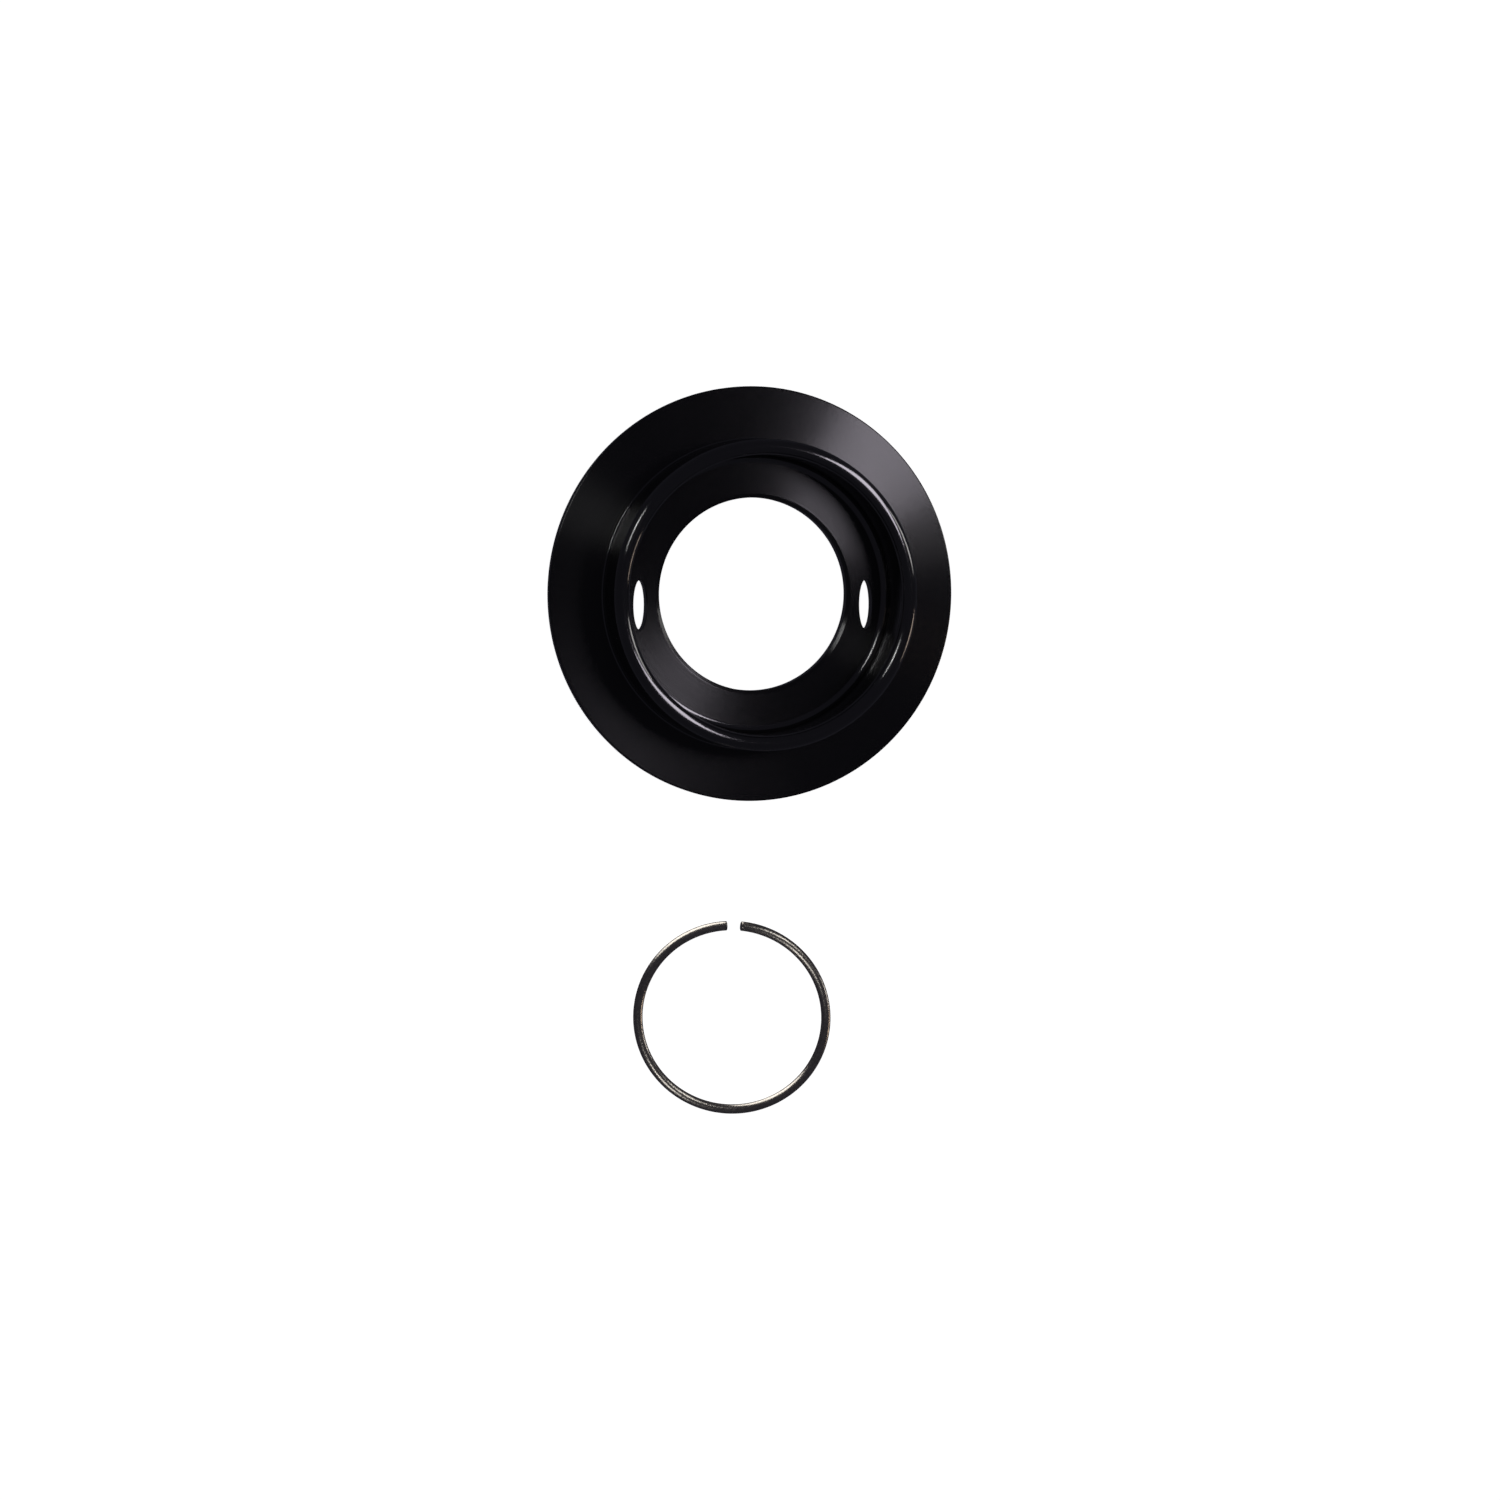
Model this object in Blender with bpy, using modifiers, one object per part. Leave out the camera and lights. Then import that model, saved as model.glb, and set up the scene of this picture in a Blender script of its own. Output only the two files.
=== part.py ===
"""Flanged shaft collar and the split wire ring that stops it on its shaft.

The collar lies on its back face with the hub up, and its bore axis is the Z axis.
The ring lies loose beside it, on the same surface.
"""

import math

import bmesh
import bpy
from mathutils import Vector

MM = 0.001

# Collar, turned from one piece
FLANGE_DIAMETER = 100.0 * MM
FLANGE_EDGE_HEIGHT = 2.6 * MM
FLANGE_ROOT_HEIGHT = 4.2 * MM
HUB_DIAMETER = 74.4 * MM
CUP_DIAMETER = 66.8 * MM
COLLAR_HEIGHT = 18.0 * MM
FLOOR_HEIGHT = 3.5 * MM
BORE_DIAMETER = 46.5 * MM
RING_SEAT_CHAMFER = 0.9 * MM
HUB_ROOT_RADIUS = 0.4 * MM
FLOOR_ROOT_RADIUS = 1.7 * MM
EDGE_BREAK = 0.4 * MM

# Two oval slots through the floor, a little off the bore's centre line
SLOT_WIDTH = 3.2 * MM
SLOT_LENGTH = 12.0 * MM
SLOT_REACH = 28.0 * MM
SLOT_OFFSET = -2.5 * MM

# Ring of round wire, sprung slightly oval; its long axis and its gap are turned from X
WIRE_DIAMETER = 2.3 * MM
RING_LENGTH = 47.2 * MM
RING_BREADTH = 44.5 * MM
RING_TURN = math.radians(-18)
RING_GAP = 3.4 * MM
RING_GAP_TURN = math.radians(88.3)
RING_PLACE = Vector((-4.5 * MM, -102.65 * MM))
SEAT_GAP = 0.2 * MM

TURNED_STEPS = 120
ROUND_STEP_DEGREES = 18
SLOT_STEPS = 36
RING_POINTS = 73
WIRE_BEVEL_RESOLUTION = 4
SHARP_ANGLE = math.radians(25)
MERGE_DISTANCE = 0.00001


def clear_scene():
    for old in list(bpy.data.objects):
        bpy.data.objects.remove(old, do_unlink=True)


def new_collection(name):
    collection = bpy.data.collections.new(name)
    bpy.context.scene.collection.children.link(collection)
    return collection


def metal(name, colour, roughness, metallic):
    material = bpy.data.materials.new(name)
    material.use_nodes = True
    shader = material.node_tree.nodes["Principled BSDF"]
    shader.inputs["Base Color"].default_value = (*colour, 1.0)
    shader.inputs["Roughness"].default_value = roughness
    shader.inputs["Metallic"].default_value = metallic
    return material


def arc(centre, radius, start_degrees, end_degrees):
    """Points along a round of a turned profile, as (radius from the axis, height)."""
    sweep = end_degrees - start_degrees
    steps = math.ceil(abs(sweep) / ROUND_STEP_DEGREES)
    points = []
    for step in range(steps + 1):
        angle = math.radians(start_degrees + sweep * step / steps)
        points.append((centre[0] + radius * math.cos(angle), centre[1] + radius * math.sin(angle)))
    return points


def rim():
    """Fully rounded top of the hub, from the cup's wall over to the hub's outer wall."""
    cup = CUP_DIAMETER / 2
    hub = HUB_DIAMETER / 2
    radius = (hub - cup) / 2
    return arc((cup + radius, COLLAR_HEIGHT - radius), radius, 180, 0)


def hub_root():
    """Small round between the hub's outer wall and the flange's sloping face, from the wall down."""
    hub = HUB_DIAMETER / 2
    edge = FLANGE_DIAMETER / 2
    slope = math.atan2(FLANGE_ROOT_HEIGHT - FLANGE_EDGE_HEIGHT, edge - hub)
    face_height = FLANGE_ROOT_HEIGHT - HUB_ROOT_RADIUS * math.tan(slope)
    centre = (hub + HUB_ROOT_RADIUS, face_height + HUB_ROOT_RADIUS / math.cos(slope))
    return arc(centre, HUB_ROOT_RADIUS, 180, 270 - math.degrees(slope))


def floor_root():
    """Round corner between the floor and the cup's inner wall, from the floor up."""
    centre = (CUP_DIAMETER / 2 - FLOOR_ROOT_RADIUS, FLOOR_HEIGHT + FLOOR_ROOT_RADIUS)
    return arc(centre, FLOOR_ROOT_RADIUS, 270, 360)


def collar_profile():
    """Closed outline of the collar's section: over the rim, down the outside, in along the back, up the bore."""
    flange = FLANGE_DIAMETER / 2
    bore = BORE_DIAMETER / 2
    outline = rim()
    outline += hub_root()
    outline += [
        (flange - EDGE_BREAK, FLANGE_EDGE_HEIGHT),
        (flange, FLANGE_EDGE_HEIGHT - EDGE_BREAK),
        (flange, EDGE_BREAK),
        (flange - EDGE_BREAK, 0.0),
        (bore + EDGE_BREAK, 0.0),
        (bore, EDGE_BREAK),
        (bore, FLOOR_HEIGHT - RING_SEAT_CHAMFER),
        (bore + RING_SEAT_CHAMFER, FLOOR_HEIGHT),
    ]
    outline += floor_root()
    return outline


def slot_cutter(name, side, collection):
    """Oval bar that cuts one slot right through the floor."""
    shape = bmesh.new()
    bmesh.ops.create_cone(
        shape,
        cap_ends=True,
        segments=SLOT_STEPS,
        radius1=0.5,
        radius2=0.5,
        depth=4 * FLOOR_HEIGHT,
    )
    bmesh.ops.scale(shape, vec=(SLOT_WIDTH, SLOT_LENGTH, 1.0), verts=shape.verts)
    mesh = bpy.data.meshes.new(name)
    shape.to_mesh(mesh)
    shape.free()
    cutter = bpy.data.objects.new(name, mesh)
    cutter.location = (side * SLOT_REACH, SLOT_OFFSET, FLOOR_HEIGHT / 2)
    cutter.hide_render = True
    cutter.display_type = "WIRE"
    collection.objects.link(cutter)
    return cutter


def turned(name, outline):
    """Mesh made by turning a closed section about the Z axis, smooth between its machined edges."""
    points = [(radius, 0.0, height) for radius, height in outline]
    loop = [(i, (i + 1) % len(points)) for i in range(len(points))]
    section = bpy.data.meshes.new(name + "_section")
    section.from_pydata(points, loop, [])
    blank = bpy.data.objects.new(name + "_blank", section)
    bpy.context.scene.collection.objects.link(blank)
    turn = blank.modifiers.new("turn", "SCREW")
    turn.axis = "Z"
    turn.angle = math.tau
    turn.steps = TURNED_STEPS
    turn.render_steps = TURNED_STEPS
    turn.use_merge_vertices = True
    turn.merge_threshold = MERGE_DISTANCE
    graph = bpy.context.evaluated_depsgraph_get()
    mesh = bpy.data.meshes.new_from_object(blank.evaluated_get(graph))
    bpy.data.objects.remove(blank, do_unlink=True)
    bpy.data.meshes.remove(section)
    mesh.name = name
    mesh.shade_smooth()
    mesh.set_sharp_from_angle(angle=SHARP_ANGLE)
    return mesh


def collar_body(parts, cutters):
    """The collar: its section turned about the bore axis, then slotted."""
    mesh = turned("collar_body", collar_profile())
    mesh.materials.append(metal("black_anodised", (0.03, 0.03, 0.035), 0.35, 1.0))
    collar = bpy.data.objects.new("collar_body", mesh)
    parts.objects.link(collar)
    for name, side in (("left_slot_cutter", -1), ("right_slot_cutter", 1)):
        cut = collar.modifiers.new(name, "BOOLEAN")
        cut.operation = "DIFFERENCE"
        cut.solver = "EXACT"
        cut.object = slot_cutter(name, side, cutters)
    return collar


def ring_seat_height():
    """Height of the wire's centre line when the ring rests on the chamfer at the bore's mouth."""
    overhang = RING_LENGTH / 2 - BORE_DIAMETER / 2
    stand_off = math.sqrt(2) * (WIRE_DIAMETER / 2 + SEAT_GAP)
    return FLOOR_HEIGHT - RING_SEAT_CHAMFER + overhang + stand_off


def ring_carry_axis(parts):
    """Empty halfway between the ring's laid-out place and its seat, with local X as the axis between them."""
    laid = Vector((RING_PLACE.x, RING_PLACE.y, WIRE_DIAMETER / 2))
    seated = Vector((0.0, 0.0, ring_seat_height()))
    axis = bpy.data.objects.new("ring_carry_axis", None)
    axis.location = (laid + seated) / 2
    axis.rotation_euler.z = math.atan2(-RING_PLACE.y, -RING_PLACE.x) - math.pi / 2
    axis.empty_display_size = RING_GAP
    parts.objects.link(axis)
    return axis, laid


def ring_point(angle):
    """Place on the oval line that the wire follows, for an angle round it from X."""
    lengthways = RING_LENGTH / 2 * math.cos(angle - RING_TURN)
    sideways = RING_BREADTH / 2 * math.sin(angle - RING_TURN)
    x = lengthways * math.cos(RING_TURN) - sideways * math.sin(RING_TURN)
    y = lengthways * math.sin(RING_TURN) + sideways * math.cos(RING_TURN)
    return x, y


def retaining_ring(parts):
    """Split wire ring: an oval of round wire, open towards the collar, with flat ends."""
    half_opening = math.asin(RING_GAP / RING_BREADTH)
    start = RING_GAP_TURN + half_opening
    sweep = math.tau - 2 * half_opening

    curve = bpy.data.curves.new("retaining_ring", "CURVE")
    curve.dimensions = "3D"
    curve.bevel_depth = WIRE_DIAMETER / 2
    curve.bevel_resolution = WIRE_BEVEL_RESOLUTION
    curve.use_fill_caps = True
    wire = curve.splines.new("POLY")
    wire.points.add(RING_POINTS - 1)
    for i, point in enumerate(wire.points):
        x, y = ring_point(start + sweep * i / (RING_POINTS - 1))
        point.co = (x, y, 0.0, 1.0)
    curve.materials.append(metal("spring_steel", (0.36, 0.33, 0.31), 0.3, 1.0))

    ring = bpy.data.objects.new("retaining_ring", curve)
    parts.objects.link(ring)
    axis, laid = ring_carry_axis(parts)
    ring.parent = axis
    bpy.context.view_layer.update()
    ring.matrix_parent_inverse = axis.matrix_world.inverted()
    ring.location = laid
    return ring


def main():
    clear_scene()
    parts = new_collection("shaft_collar")
    cutters = new_collection("cutters")
    collar_body(parts, cutters)
    retaining_ring(parts)
    bpy.context.view_layer.update()


main()
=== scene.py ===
"""Flanged shaft collar and its wire ring, finished and laid out on a white table."""

import math

import bmesh
import bpy
from mathutils import Matrix, Quaternion, Vector


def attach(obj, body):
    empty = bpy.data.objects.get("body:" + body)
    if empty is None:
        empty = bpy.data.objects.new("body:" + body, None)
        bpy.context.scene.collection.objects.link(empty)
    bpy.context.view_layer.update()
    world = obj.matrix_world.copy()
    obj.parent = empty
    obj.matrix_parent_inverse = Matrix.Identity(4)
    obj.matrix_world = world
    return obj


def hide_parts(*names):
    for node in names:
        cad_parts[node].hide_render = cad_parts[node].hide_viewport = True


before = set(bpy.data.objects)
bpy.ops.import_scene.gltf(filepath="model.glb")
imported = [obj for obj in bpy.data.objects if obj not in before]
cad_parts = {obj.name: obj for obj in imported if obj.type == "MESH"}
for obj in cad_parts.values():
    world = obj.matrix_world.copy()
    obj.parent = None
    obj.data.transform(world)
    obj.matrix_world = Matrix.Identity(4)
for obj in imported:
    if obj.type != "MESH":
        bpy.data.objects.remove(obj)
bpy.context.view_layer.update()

MM = 0.001
MERGE_DISTANCE = 0.001 * MM
SHARP_ANGLE = math.radians(32)
QUARTER_TURN = 0.25

# The collar's turned section
FLANGE_RADIUS = 50.0 * MM
FLANGE_EDGE_HEIGHT = 2.6 * MM
FLANGE_ROOT_HEIGHT = 4.2 * MM
HUB_RADIUS = 37.2 * MM
CUP_RADIUS = 33.4 * MM
COLLAR_HEIGHT = 18.0 * MM
FLOOR_HEIGHT = 3.5 * MM
BORE_RADIUS = 23.25 * MM
RING_SEAT_WIDTH = 0.9 * MM
RING_SEAT_DEPTH = 0.5 * MM
RIM_ROUND = 1.89 * MM
HUB_ROOT_ROUND = 0.4 * MM
FLOOR_ROOT_ROUND = 1.7 * MM
FLANGE_EDGE_ROUND = 0.4 * MM
BACK_EDGE_ROUND = 0.4 * MM
SEAT_EDGE_ROUND = 0.1 * MM
TURNED_STEPS = 256
WIDE_CORNER_STEPS = 14
SMALL_CORNER_STEPS = 4
FLAT_FACE_WEIGHT = 100

# The two oval slots in the collar's floor
SLOT_WIDTH = 3.2 * MM
SLOT_LENGTH = 12.0 * MM
SLOT_REACH = 28.0 * MM
SLOT_OFFSET = -2.5 * MM
SLOT_EDGE_BREAK = 0.2 * MM
SLOT_OVERSHOOT = 1.0 * MM
SLOT_STEPS = 72

# The collar's black anodising: a faced finish, and a glossier one from the hub's foot to its outer edge
HUB_FOOT_RADIUS = CUP_RADIUS - FLOOR_ROOT_ROUND
HUB_EDGE_RADIUS = HUB_RADIUS + HUB_ROOT_ROUND
FACED_ROUGHNESS = 0.24
FACED_INDEX = 1.5
HUB_ROUGHNESS = 0.1
HUB_INDEX = 1.9
TURNING_ANISOTROPY = 0.96
SKIN_WEIGHT = 0.3
SKIN_INDEX = 1.27
SKIN_ROUGHNESS = 0.1
DEEP_DYE = (0.0005, 0.0005, 0.0007, 1.0)
THIN_DYE = (0.002, 0.0019, 0.0022, 1.0)
DEEP_DYE_LEVEL = 0.35
THIN_DYE_LEVEL = 0.75
GROOVE_PITCH = 0.5 * MM
GROOVE_DEPTH = 0.02 * MM
STREAK_DRIFT = 1.5 * MM
GRAIN_SIZE = 0.9 * MM
GRAIN_DEPTH = 0.006 * MM
SMUDGE_SIZE = 12.0 * MM
SMUDGE_ROUGHNESS = 0.04

# The wire ring, as it lies
WIRE_RADIUS = 1.15 * MM
RING_LENGTH = 47.2 * MM
RING_BREADTH = 44.5 * MM
RING_TURN = math.radians(-18)
RING_GAP = 3.4 * MM
RING_GAP_TURN = math.radians(88.3)
RING_PLACE = Vector((-4.5 * MM, -102.63 * MM, WIRE_RADIUS))
WIRE_SIDES = 40
RING_STEPS = 240
WIRE_END_BREAK = 0.14 * MM
WIRE_END_STEPS = 3

# The wire's steel; its patterns are scaled to the wire's radius and run between two levels
DRAWING_ANISOTROPY = 0.6
PATTERN_LOW = 0.3
PATTERN_HIGH = 0.7
DARK_STEEL = (0.31, 0.29, 0.26, 1.0)
LIGHT_STEEL = (0.48, 0.45, 0.4, 1.0)
BRIGHTEST_DRAW_LINE = 0.2
DULLEST_DRAW_LINE = 0.32
DRAW_LINE_SCALE = 4.0
DRAW_LINE_STRETCH = (1.0, 1.0, 0.06)
DRAW_LINE_DEPTH = 0.006 * MM
COILING_MARK_SCALE = 2.5
COILING_MARK_DEPTH = 0.03 * MM

# The table and the light all round
TABLE_REACH = 4.0
TABLE_CLEARANCE = 0.02 * MM
ROOM_COLOUR = (1.0, 0.98, 1.3, 1.0)
ROOM_BRIGHTNESS = 0.042

# The camera, fitted to the ellipses of the bore, the flange, the rim and the ring
CAMERA_TARGET = Vector((0.03 * MM, -37.77 * MM, 0.0))
CAMERA_DISTANCE = 1000.0 * MM
CAMERA_SIDE_TILT = math.radians(13.95)
CAMERA_UP_TILT = math.radians(3.35)
CAMERA_ROLL = math.radians(0.14)
CAMERA_PIXELS_PER_MM = 4.1288
IMAGE_SIDE = 1500
SENSOR_WIDTH = 36.0


def finished_piece(name, mesh, body, node):
    """Object for a finished mesh that rides on its body and stands for its node."""
    piece = bpy.data.objects.new(name, mesh)
    bpy.context.scene.collection.objects.link(piece)
    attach(piece, body)
    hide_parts(node)
    return piece


def mesh_from(shape, name):
    mesh = bpy.data.meshes.new(name)
    shape.to_mesh(mesh)
    shape.free()
    return mesh


def evaluated_mesh(holder):
    """The mesh of an object with its modifiers applied; the object itself is removed."""
    graph = bpy.context.evaluated_depsgraph_get()
    mesh = bpy.data.meshes.new_from_object(holder.evaluated_get(graph))
    bpy.data.objects.remove(holder, do_unlink=True)
    return mesh


def turned_collar():
    """The collar's section with its corners rounded, turned about the bore axis."""
    corners = [
        (CUP_RADIUS, COLLAR_HEIGHT, RIM_ROUND, WIDE_CORNER_STEPS),
        (HUB_RADIUS, COLLAR_HEIGHT, RIM_ROUND, WIDE_CORNER_STEPS),
        (HUB_RADIUS, FLANGE_ROOT_HEIGHT, HUB_ROOT_ROUND, WIDE_CORNER_STEPS),
        (FLANGE_RADIUS, FLANGE_EDGE_HEIGHT, FLANGE_EDGE_ROUND, SMALL_CORNER_STEPS),
        (FLANGE_RADIUS, 0.0, BACK_EDGE_ROUND, SMALL_CORNER_STEPS),
        (BORE_RADIUS, 0.0, BACK_EDGE_ROUND, SMALL_CORNER_STEPS),
        (BORE_RADIUS, FLOOR_HEIGHT - RING_SEAT_DEPTH, SEAT_EDGE_ROUND, SMALL_CORNER_STEPS),
        (BORE_RADIUS + RING_SEAT_WIDTH, FLOOR_HEIGHT, SEAT_EDGE_ROUND, SMALL_CORNER_STEPS),
        (CUP_RADIUS, FLOOR_HEIGHT, FLOOR_ROOT_ROUND, WIDE_CORNER_STEPS),
    ]
    shape = bmesh.new()
    points = [shape.verts.new((radius, 0.0, height)) for radius, height, _, _ in corners]
    for start, end in zip(points, points[1:] + points[:1]):
        shape.edges.new((start, end))
    for point, (_, _, rounding, steps) in zip(points, corners):
        bmesh.ops.bevel(
            shape,
            geom=[point],
            offset=rounding,
            offset_type="OFFSET",
            segments=steps,
            profile=0.5,
            affect="VERTICES",
            material=-1,
        )
    bmesh.ops.spin(
        shape,
        geom=shape.verts[:] + shape.edges[:],
        cent=(0.0, 0.0, 0.0),
        axis=(0.0, 0.0, 1.0),
        angle=math.tau,
        steps=TURNED_STEPS,
        use_merge=True,
    )
    bmesh.ops.remove_doubles(shape, verts=shape.verts, dist=MERGE_DISTANCE)
    bmesh.ops.recalc_face_normals(shape, faces=shape.faces)
    return mesh_from(shape, "turned_collar")


def slot_cutter(side):
    """Oval bar that flares past the floor's two faces, so that it leaves broken edges."""
    flare = SLOT_EDGE_BREAK + SLOT_OVERSHOOT
    layers = [
        (-SLOT_OVERSHOOT, flare),
        (SLOT_EDGE_BREAK, 0.0),
        (FLOOR_HEIGHT - SLOT_EDGE_BREAK, 0.0),
        (FLOOR_HEIGHT + SLOT_OVERSHOOT, flare),
    ]
    shape = bmesh.new()
    loops = []
    for height, grow in layers:
        made = bmesh.ops.create_circle(shape, segments=SLOT_STEPS, radius=0.5)
        oval = Matrix.Diagonal((SLOT_WIDTH + 2 * grow, SLOT_LENGTH + 2 * grow, 1.0, 1.0))
        place = Matrix.Translation((side * SLOT_REACH, SLOT_OFFSET, height))
        bmesh.ops.transform(shape, matrix=place @ oval, verts=made["verts"])
        loops.append(list({edge for vert in made["verts"] for edge in vert.link_edges}))
    for lower, upper in zip(loops, loops[1:]):
        bmesh.ops.bridge_loops(shape, edges=lower + upper)
    bmesh.ops.holes_fill(shape, edges=shape.edges, sides=SLOT_STEPS)
    bmesh.ops.recalc_face_normals(shape, faces=shape.faces)
    cutter = bpy.data.objects.new("slot_cutter", mesh_from(shape, "slot_cutter"))
    bpy.context.scene.collection.objects.link(cutter)
    return cutter


def finish_at(place):
    """Which of the collar's finishes a place has: 1 on the hub's rounds and walls, 0 on the faced rest."""
    beside_hub = HUB_FOOT_RADIUS < place.to_2d().length < HUB_EDGE_RADIUS
    return int(beside_hub and place.z > FLOOR_HEIGHT)


def collar_mesh():
    """The turned collar with its slots cut, its flat faces shaded flat and its finishes told apart."""
    blank = bpy.data.objects.new("collar_blank", turned_collar())
    bpy.context.scene.collection.objects.link(blank)
    cutters = [slot_cutter(side) for side in (-1, 1)]
    for cutter in cutters:
        cut = blank.modifiers.new("slot", "BOOLEAN")
        cut.operation = "DIFFERENCE"
        cut.solver = "EXACT"
        cut.object = cutter
    slotted = evaluated_mesh(blank)
    for cutter in cutters:
        bpy.data.objects.remove(cutter, do_unlink=True)
    slotted.shade_smooth()
    slotted.set_sharp_from_angle(angle=SHARP_ANGLE)

    shaded = bpy.data.objects.new("collar_shaded", slotted)
    bpy.context.scene.collection.objects.link(shaded)
    weigh = shaded.modifiers.new("flat_faces", "WEIGHTED_NORMAL")
    weigh.keep_sharp = True
    weigh.weight = FLAT_FACE_WEIGHT
    mesh = evaluated_mesh(shaded)
    for face in mesh.polygons:
        face.material_index = finish_at(face.center)
    return mesh


def beside_oval(angle, out):
    """Place a distance outward from the oval line that the wire follows, for an angle round it from X."""
    lengthways = math.cos(angle - RING_TURN)
    sideways = math.sin(angle - RING_TURN)
    line = Vector((RING_LENGTH / 2 * lengthways, RING_BREADTH / 2 * sideways))
    outward = Vector((lengthways / RING_LENGTH, sideways / RING_BREADTH)).normalized()
    return Matrix.Rotation(RING_TURN, 2) @ (line + outward * out)


def ring_mesh():
    """Round wire swept along an oval that is open towards the collar, with its ends deburred.

    Each vertex keeps its place on the wire, in wire radii: outward, upward and along from the gap.
    """
    half_opening = math.asin(RING_GAP / RING_BREADTH)
    shape = bmesh.new()
    made = bmesh.ops.create_circle(shape, segments=WIRE_SIDES, radius=WIRE_RADIUS)
    stand = Matrix.Rotation(math.pi / 2, 4, "Y")
    shift = Matrix.Translation((0.0, RING_BREADTH / 2, 0.0))
    turn = Matrix.Rotation(RING_GAP_TURN - math.pi / 2 + half_opening, 4, "Z")
    bmesh.ops.transform(shape, matrix=turn @ shift @ stand, verts=made["verts"])
    bmesh.ops.spin(
        shape,
        geom=shape.verts[:] + shape.edges[:],
        cent=(0.0, 0.0, 0.0),
        axis=(0.0, 0.0, 1.0),
        angle=math.tau - 2 * half_opening,
        steps=RING_STEPS,
        use_merge=False,
    )
    rims = [edge for edge in shape.edges if edge.is_boundary]
    bmesh.ops.holes_fill(shape, edges=rims, sides=WIRE_SIDES)
    bmesh.ops.recalc_face_normals(shape, faces=shape.faces)
    bmesh.ops.bevel(
        shape,
        geom=rims,
        offset=WIRE_END_BREAK,
        offset_type="OFFSET",
        segments=WIRE_END_STEPS,
        profile=0.5,
        affect="EDGES",
        material=-1,
    )
    wire_place = shape.verts.layers.float_vector.new("wire_place")
    for vert in shape.verts:
        angle = math.atan2(vert.co.y, vert.co.x)
        out = vert.co.to_2d().length - RING_BREADTH / 2
        along = (angle - RING_GAP_TURN) % math.tau * RING_BREADTH / 2
        vert[wire_place] = Vector((out, vert.co.z, along)) / WIRE_RADIUS
        vert.co.xy = beside_oval(angle, out)
    bmesh.ops.translate(shape, vec=RING_PLACE, verts=shape.verts)
    mesh = mesh_from(shape, "wire_ring")
    mesh.shade_smooth()
    mesh.set_sharp_from_angle(angle=SHARP_ANGLE)
    return mesh


def new_material(name):
    material = bpy.data.materials.new(name)
    material.use_nodes = True
    nodes = material.node_tree.nodes
    return material, nodes, material.node_tree.links, nodes["Principled BSDF"]


def stretch_sheen(nodes, links, shader, anisotropy):
    """Spread the sheen across fine lines that run round a piece's own upright axis."""
    shader.inputs["Anisotropic"].default_value = anisotropy
    shader.inputs["Anisotropic Rotation"].default_value = QUARTER_TURN
    around = nodes.new("ShaderNodeTangent")
    around.direction_type = "RADIAL"
    around.axis = "Z"
    links.new(around.outputs["Tangent"], shader.inputs["Tangent"])


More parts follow.
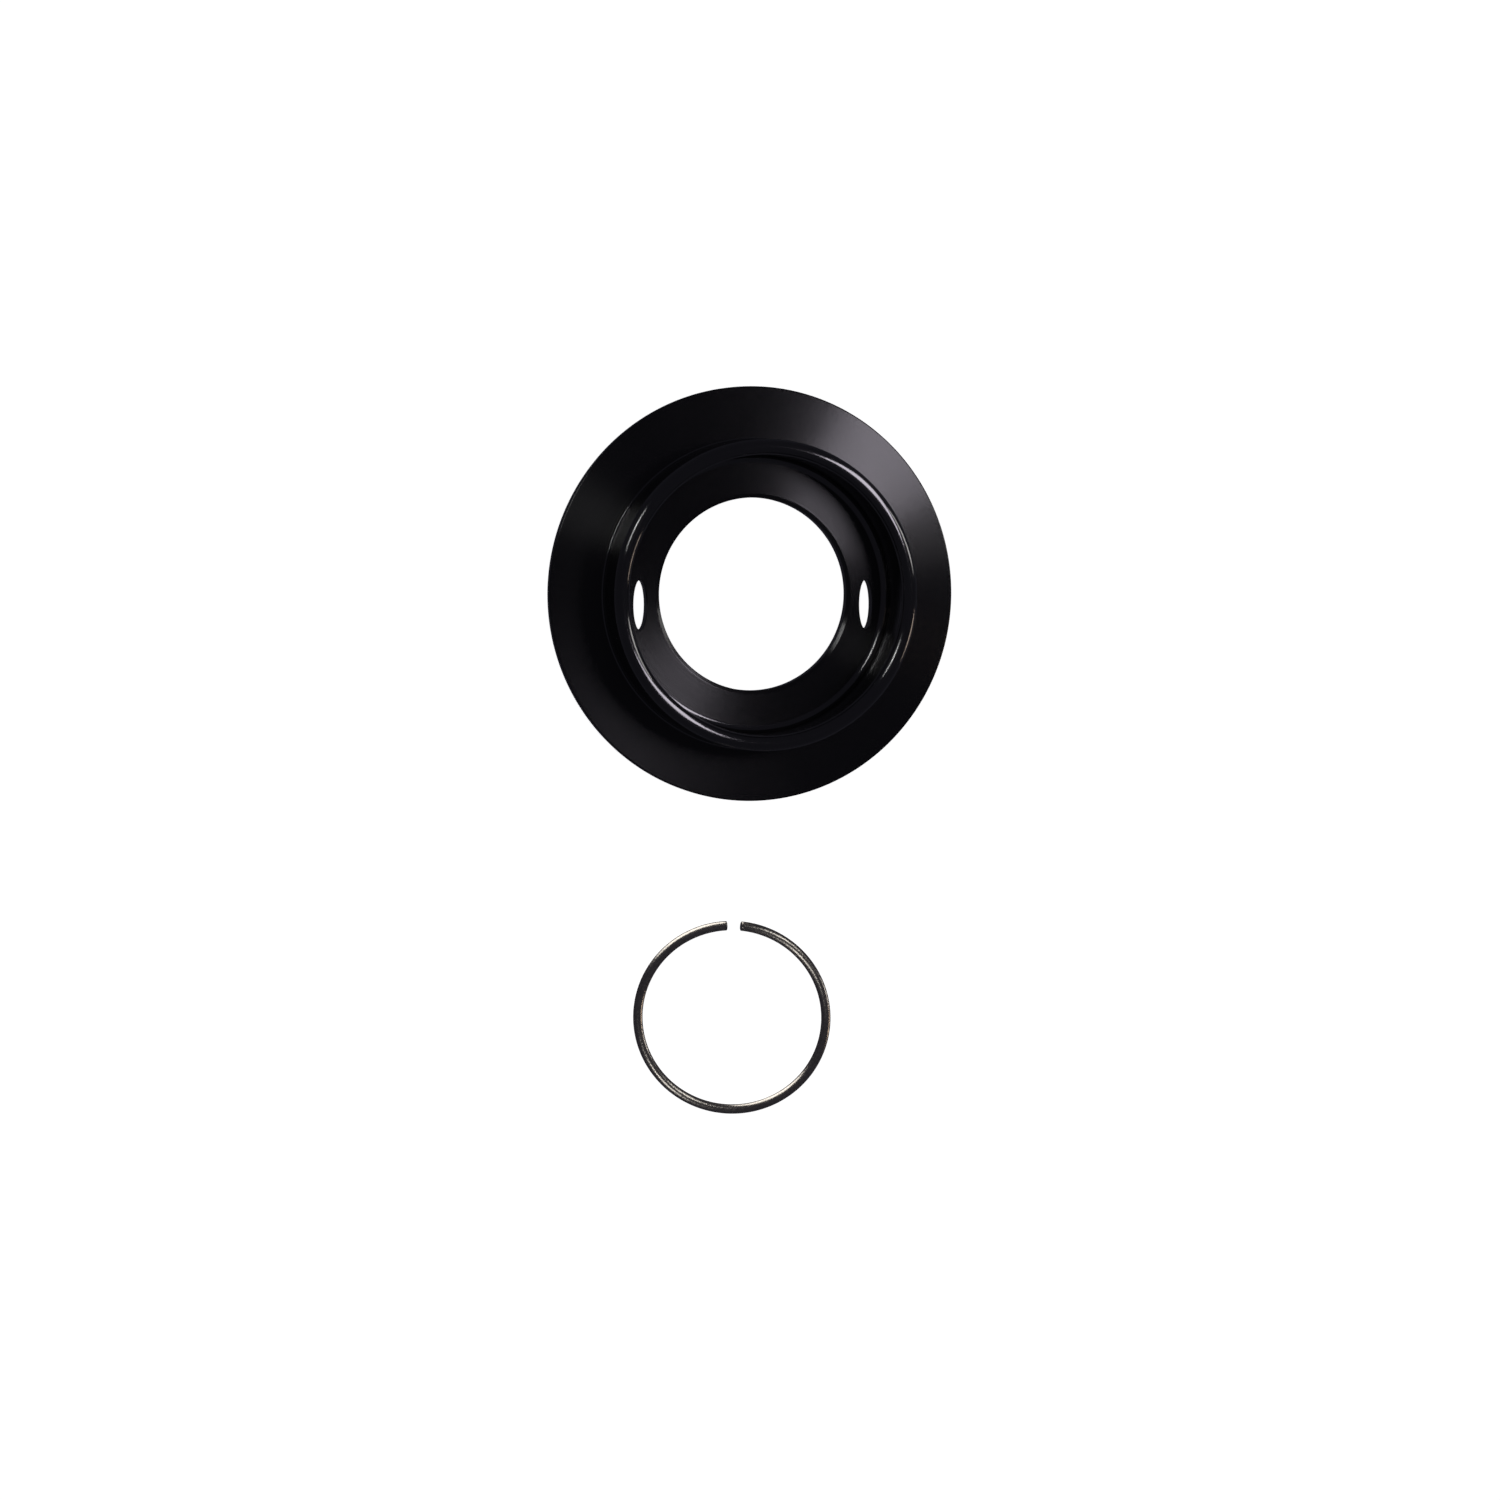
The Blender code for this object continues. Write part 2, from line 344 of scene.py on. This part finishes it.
def black_anodised(name, roughness, index):
    """Black anodising over turning marks that run round the bore axis, under a thin glossy skin."""
    material, nodes, links, shader = new_material(name)
    shader.inputs["IOR"].default_value = index
    shader.inputs["Coat Weight"].default_value = SKIN_WEIGHT
    shader.inputs["Coat IOR"].default_value = SKIN_INDEX
    shader.inputs["Coat Roughness"].default_value = SKIN_ROUGHNESS
    stretch_sheen(nodes, links, shader, TURNING_ANISOTROPY)

    place = nodes.new("ShaderNodeTexCoord")
    flatten = nodes.new("ShaderNodeVectorMath")
    flatten.operation = "MULTIPLY"
    flatten.inputs[1].default_value = (1.0, 1.0, 0.0)
    radius = nodes.new("ShaderNodeVectorMath")
    radius.operation = "LENGTH"
    axes = nodes.new("ShaderNodeSeparateXYZ")
    section = nodes.new("ShaderNodeCombineXYZ")
    links.new(place.outputs["Object"], flatten.inputs[0])
    links.new(flatten.outputs["Vector"], radius.inputs[0])
    links.new(place.outputs["Object"], axes.inputs["Vector"])
    links.new(radius.outputs["Value"], section.inputs["X"])
    links.new(axes.outputs["Z"], section.inputs["Y"])

    # Smudges from handling dull the surface a little and thin its dye
    smudges = nodes.new("ShaderNodeTexNoise")
    smudges.inputs["Scale"].default_value = 1.0 / SMUDGE_SIZE
    smudges.inputs["Detail"].default_value = 4.0
    links.new(place.outputs["Object"], smudges.inputs["Vector"])
    handled = nodes.new("ShaderNodeMath")
    handled.operation = "MULTIPLY_ADD"
    handled.inputs[1].default_value = SMUDGE_ROUGHNESS
    handled.inputs[2].default_value = roughness
    links.new(smudges.outputs["Fac"], handled.inputs[0])
    links.new(handled.outputs["Value"], shader.inputs["Roughness"])
    dye = nodes.new("ShaderNodeValToRGB")
    deep, thin = dye.color_ramp.elements
    deep.position = DEEP_DYE_LEVEL
    deep.color = DEEP_DYE
    thin.position = THIN_DYE_LEVEL
    thin.color = THIN_DYE
    links.new(smudges.outputs["Fac"], dye.inputs["Fac"])
    links.new(dye.outputs["Color"], shader.inputs["Base Color"])

    # Turning marks follow the section, and drift as they go round so that each one comes and goes
    outward = nodes.new("ShaderNodeVectorMath")
    outward.operation = "NORMALIZE"
    links.new(flatten.outputs["Vector"], outward.inputs[0])
    drift = nodes.new("ShaderNodeVectorMath")
    drift.operation = "SCALE"
    drift.inputs["Scale"].default_value = STREAK_DRIFT
    links.new(outward.outputs["Vector"], drift.inputs[0])
    streaks = nodes.new("ShaderNodeVectorMath")
    streaks.operation = "ADD"
    links.new(section.outputs["Vector"], streaks.inputs[0])
    links.new(drift.outputs["Vector"], streaks.inputs[1])
    grooves = nodes.new("ShaderNodeTexNoise")
    grooves.noise_dimensions = "2D"
    grooves.inputs["Scale"].default_value = 1.0 / GROOVE_PITCH
    grooves.inputs["Detail"].default_value = 2.0
    links.new(streaks.outputs["Vector"], grooves.inputs["Vector"])
    relief = nodes.new("ShaderNodeBump")
    relief.inputs["Strength"].default_value = 1.0
    relief.inputs["Distance"].default_value = GROOVE_DEPTH
    links.new(grooves.outputs["Fac"], relief.inputs["Height"])

    grain = nodes.new("ShaderNodeTexNoise")
    grain.inputs["Scale"].default_value = 1.0 / GRAIN_SIZE
    grain.inputs["Detail"].default_value = 1.0
    links.new(place.outputs["Object"], grain.inputs["Vector"])
    etch = nodes.new("ShaderNodeBump")
    etch.inputs["Strength"].default_value = 1.0
    etch.inputs["Distance"].default_value = GRAIN_DEPTH
    links.new(grain.outputs["Fac"], etch.inputs["Height"])
    links.new(relief.outputs["Normal"], etch.inputs["Normal"])
    links.new(etch.outputs["Normal"], shader.inputs["Normal"])
    return material


def drawn_steel():
    """Dull spring wire, grey-brown, with draw lines along it and faint marks of coiling all over it."""
    material, nodes, links, shader = new_material("drawn_steel")
    shader.inputs["Metallic"].default_value = 1.0
    stretch_sheen(nodes, links, shader, DRAWING_ANISOTROPY)
    place = nodes.new("ShaderNodeAttribute")
    place.attribute_name = "wire_place"

    lengthways = nodes.new("ShaderNodeVectorMath")
    lengthways.operation = "MULTIPLY"
    lengthways.inputs[1].default_value = DRAW_LINE_STRETCH
    links.new(place.outputs["Vector"], lengthways.inputs[0])
    lines = nodes.new("ShaderNodeTexNoise")
    lines.inputs["Scale"].default_value = DRAW_LINE_SCALE
    lines.inputs["Detail"].default_value = 3.0
    links.new(lengthways.outputs["Vector"], lines.inputs["Vector"])
    dullness = nodes.new("ShaderNodeMapRange")
    dullness.inputs["From Min"].default_value = PATTERN_LOW
    dullness.inputs["From Max"].default_value = PATTERN_HIGH
    dullness.inputs["To Min"].default_value = BRIGHTEST_DRAW_LINE
    dullness.inputs["To Max"].default_value = DULLEST_DRAW_LINE
    links.new(lines.outputs["Fac"], dullness.inputs["Value"])
    links.new(dullness.outputs["Result"], shader.inputs["Roughness"])

    marks = nodes.new("ShaderNodeTexNoise")
    marks.inputs["Scale"].default_value = COILING_MARK_SCALE
    marks.inputs["Detail"].default_value = 2.0
    links.new(place.outputs["Vector"], marks.inputs["Vector"])
    tone = nodes.new("ShaderNodeValToRGB")
    dark, light = tone.color_ramp.elements
    dark.position = PATTERN_LOW
    dark.color = DARK_STEEL
    light.position = PATTERN_HIGH
    light.color = LIGHT_STEEL
    links.new(marks.outputs["Fac"], tone.inputs["Fac"])
    links.new(tone.outputs["Color"], shader.inputs["Base Color"])

    dents = nodes.new("ShaderNodeBump")
    dents.inputs["Strength"].default_value = 1.0
    dents.inputs["Distance"].default_value = COILING_MARK_DEPTH
    links.new(marks.outputs["Fac"], dents.inputs["Height"])
    draws = nodes.new("ShaderNodeBump")
    draws.inputs["Strength"].default_value = 1.0
    draws.inputs["Distance"].default_value = DRAW_LINE_DEPTH
    links.new(lines.outputs["Fac"], draws.inputs["Height"])
    links.new(dents.outputs["Normal"], draws.inputs["Normal"])
    links.new(draws.outputs["Normal"], shader.inputs["Normal"])
    return material


def white_table():
    material, _, _, shader = new_material("white_table")
    shader.inputs["Base Color"].default_value = (0.9, 0.9, 0.9, 1.0)
    shader.inputs["Roughness"].default_value = 0.9
    shader.inputs["Emission Color"].default_value = (1.0, 1.0, 1.0, 1.0)
    shader.inputs["Emission Strength"].default_value = 1.0
    return material


def table():
    """Pale table under both pieces, left out of reflections because the photo's black faces show none."""
    shape = bmesh.new()
    bmesh.ops.create_grid(shape, x_segments=1, y_segments=1, size=TABLE_REACH)
    bmesh.ops.translate(shape, vec=(0.0, 0.0, -TABLE_CLEARANCE), verts=shape.verts)
    floor = bpy.data.objects.new("table", mesh_from(shape, "table"))
    floor.data.materials.append(white_table())
    floor.visible_glossy = False
    bpy.context.scene.collection.objects.link(floor)


def direction(azimuth, elevation):
    """Unit vector towards a light, in degrees: azimuth from +X towards +Y, elevation above the table."""
    turn = math.radians(azimuth)
    rise = math.radians(elevation)
    return Vector((math.cos(rise) * math.cos(turn), math.cos(rise) * math.sin(turn), math.sin(rise)))


def softbox(name, towards, distance, size, radiance, colour, lean=0.0, piece=None, middle=Vector()):
    """Oval area light that faces a middle, for both pieces or only one.

    Its lean is in degrees, its size is its width and height, and its radiance is its brightness.
    """
    width, height = size
    light = bpy.data.lights.new(name, "AREA")
    light.shape = "ELLIPSE"
    light.size = width
    light.size_y = height
    light.energy = radiance * math.pi * math.pi / 4 * width * height
    light.color = colour
    lamp = bpy.data.objects.new(name, light)
    lamp.location = middle + towards * distance
    lamp.rotation_mode = "QUATERNION"
    lamp.rotation_quaternion = Quaternion(towards, math.radians(lean)) @ towards.to_track_quat("Z", "Y")
    lamp.visible_camera = False
    bpy.context.scene.collection.objects.link(lamp)
    if piece:
        lit = bpy.data.collections.new(name + "_lit")
        lit.objects.link(piece)
        lamp.light_linking.receiver_collection = lit
        lamp.light_linking.blocker_collection = lit


def studio(collar, ring):
    """Dim light all round, and soft lights placed by the glints that the photo shows on each piece."""
    world = bpy.data.worlds.new("studio")
    world.use_nodes = True
    background = world.node_tree.nodes["Background"]
    background.inputs["Color"].default_value = ROOM_COLOUR
    background.inputs["Strength"].default_value = ROOM_BRIGHTNESS
    bpy.context.scene.world = world
    bpy.context.scene.view_settings.view_transform = "Standard"

    softbox(
        "key_window",
        direction(28.7, 54.5),
        distance=0.6,
        size=(0.145, 0.44),
        radiance=5.3,
        colour=(1.0, 0.93, 1.05),
        lean=18.0,
        piece=collar,
    )
    softbox(
        "left_strip",
        direction(147.0, 48.0),
        distance=1.5,
        size=(0.42, 0.06),
        radiance=30.0,
        colour=(1.0, 1.0, 1.0),
        piece=collar,
    )
    softbox(
        "right_card",
        direction(14.0, 26.0),
        distance=1.5,
        size=(0.3, 0.7),
        radiance=4.0,
        colour=(1.0, 0.97, 0.95),
        lean=-34.0,
        piece=collar,
    )
    softbox(
        "ring_edge_card",
        direction(3.0, 8.0),
        distance=1.5,
        size=(0.4, 0.2),
        radiance=5.5,
        colour=(1.0, 0.97, 0.95),
        piece=ring,
    )
    softbox(
        "right_glow",
        direction(-13.0, 9.0),
        distance=1.5,
        size=(0.4, 0.25),
        radiance=4.4,
        colour=(1.0, 0.8, 0.65),
    )
    softbox(
        "ring_card",
        direction(106.0, -8.0),
        distance=1.5,
        size=(1.9, 1.85),
        radiance=3.1,
        colour=(1.0, 0.98, 0.96),
        piece=ring,
    )
    softbox(
        "ring_window",
        direction(36.0, 46.0),
        distance=1.0,
        size=(0.18, 0.5),
        radiance=3.9,
        colour=(1.0, 0.99, 0.98),
        piece=ring,
        middle=RING_PLACE,
    )
    softbox(
        "ring_fill",
        direction(251.0, 56.0),
        distance=1.0,
        size=(0.18, 0.5),
        radiance=4.6,
        colour=(1.0, 0.99, 0.98),
        piece=ring,
        middle=RING_PLACE,
    )


def photo_camera():
    """Camera above the table, tilted to the left and a little up the picture."""
    lens = bpy.data.cameras.new("photo_camera")
    lens.sensor_width = SENSOR_WIDTH
    image_side = IMAGE_SIDE / CAMERA_PIXELS_PER_MM * MM
    lens.lens = SENSOR_WIDTH * CAMERA_DISTANCE / image_side
    lens.clip_start = 0.05
    lens.clip_end = 20.0
    camera = bpy.data.objects.new("photo_camera", lens)
    back = Vector((
        -math.sin(CAMERA_SIDE_TILT) * math.cos(CAMERA_UP_TILT),
        math.sin(CAMERA_UP_TILT),
        math.cos(CAMERA_SIDE_TILT) * math.cos(CAMERA_UP_TILT),
    ))
    right = Vector((0.0, 1.0, 0.0)).cross(back).normalized()
    up = back.cross(right)
    upright = Matrix((right, up, back)).transposed().to_quaternion()
    camera.rotation_mode = "QUATERNION"
    camera.rotation_quaternion = Quaternion(back, CAMERA_ROLL) @ upright
    camera.location = CAMERA_TARGET + back * CAMERA_DISTANCE
    bpy.context.scene.collection.objects.link(camera)
    bpy.context.scene.camera = camera


collar = finished_piece("collar", collar_mesh(), "collar", "collar_body")
collar.data.materials.append(black_anodised("faced_black", FACED_ROUGHNESS, FACED_INDEX))
collar.data.materials.append(black_anodised("hub_black", HUB_ROUGHNESS, HUB_INDEX))
ring = finished_piece("wire_ring", ring_mesh(), "ring", "retaining_ring")
ring.data.materials.append(drawn_steel())
table()
studio(collar, ring)
photo_camera()
